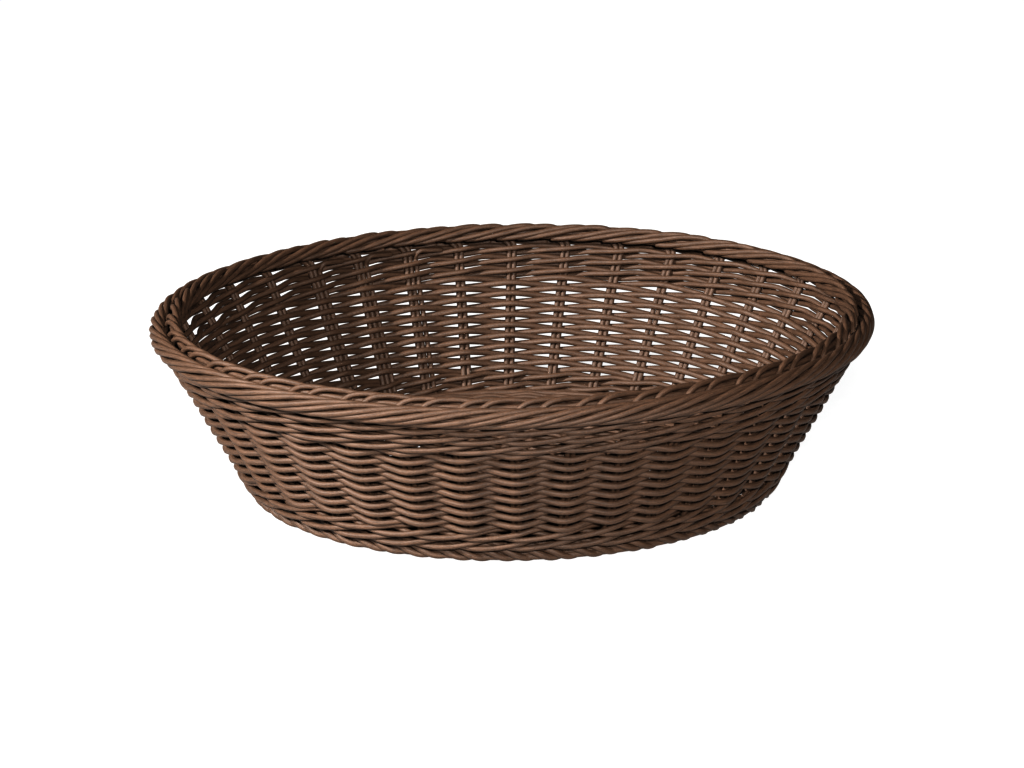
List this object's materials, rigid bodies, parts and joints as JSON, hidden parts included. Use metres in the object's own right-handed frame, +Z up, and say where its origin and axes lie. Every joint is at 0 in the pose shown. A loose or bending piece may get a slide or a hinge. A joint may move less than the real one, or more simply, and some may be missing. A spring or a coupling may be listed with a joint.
{
  "type": "woven fruit basket",
  "caption": "Open oval basket woven from round dark-brown plastic rattan strands, with flared walls, a rolled double-rope rim and a rolled foot ring.",
  "frame": {"origin": "centre of the foot ring on the surface the basket stands on", "axes": "+X along the basket's long axis, +Y across it, +Z up out of the mouth"},
  "size_m": [0.4686, 0.4162, 0.1185],
  "materials": {
    "weave_strand": "fine-grained satin dark brown round polypropylene strand",
    "stake_strand": "fine-grained satin dark brown round polypropylene strand",
    "border_strand": "fine-grained satin dark brown round polypropylene strand",
    "base_strand": "fine-grained satin dark brown round polypropylene strand"
  },
  "bodies": {
    "root": {"weave_row_01": "weave_strand", "weave_row_02": "weave_strand", "weave_row_03": "weave_strand", "weave_row_04": "weave_strand", "weave_row_05": "weave_strand", "weave_row_06": "weave_strand", "weave_row_07": "weave_strand", "weave_row_08": "weave_strand", "weave_row_09": "weave_strand", "weave_row_10": "weave_strand", "weave_row_11": "weave_strand", "weave_row_12": "weave_strand", "weave_row_13": "weave_strand", "weave_row_14": "weave_strand", "weave_row_15": "weave_strand", "weave_row_16": "weave_strand", "weave_row_17": "weave_strand", "weave_row_18": "weave_strand", "lower_wale_1_rod_1": "weave_strand", "lower_wale_1_rod_2": "weave_strand", "lower_wale_1_rod_3": "weave_strand", "lower_wale_2_rod_1": "weave_strand", "lower_wale_2_rod_2": "weave_strand", "lower_wale_2_rod_3": "weave_strand", "upper_wale_1_rod_1": "weave_strand", "upper_wale_1_rod_2": "weave_strand", "upper_wale_1_rod_3": "weave_strand", "upper_wale_2_rod_1": "weave_strand", "upper_wale_2_rod_2": "weave_strand", "upper_wale_2_rod_3": "weave_strand", "upper_wale_3_rod_1": "weave_strand", "upper_wale_3_rod_2": "weave_strand", "upper_wale_3_rod_3": "weave_strand", "stakes_left_of_pair": "stake_strand", "stakes_right_of_pair": "stake_strand", "rim_outer_rope": "border_strand", "rim_inner_rope": "border_strand", "foot_border": "border_strand", "base_mat": "base_strand"}
  },
  "joints": []
}
